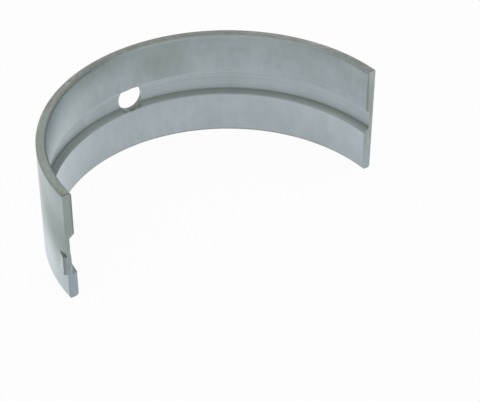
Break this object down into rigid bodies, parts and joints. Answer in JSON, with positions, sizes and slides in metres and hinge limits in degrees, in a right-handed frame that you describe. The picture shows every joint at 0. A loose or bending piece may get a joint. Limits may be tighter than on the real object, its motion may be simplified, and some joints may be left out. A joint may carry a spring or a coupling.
{
  "type": "engine bearing shell",
  "caption": "Half-round plain bearing shell for an engine's main journal, with an oil groove round the bore, an oil hole at the crown and a pressed locating tang.",
  "frame": {"origin": "on the journal axis, at the shell's mid-width", "axes": "+Z along the journal axis, so the shell stands on its lower rim; +Y towards the crown; the parting plane is y = 0 and the tang is at the end on -X"},
  "size_m": [0.1211, 0.06, 0.04],
  "materials": {
    "tin_flashed_metal": "satin, fine-bored and tin-flashed, a little duller on the rims"
  },
  "bodies": {
    "root": {"shell": "tin_flashed_metal"}
  },
  "joints": []
}
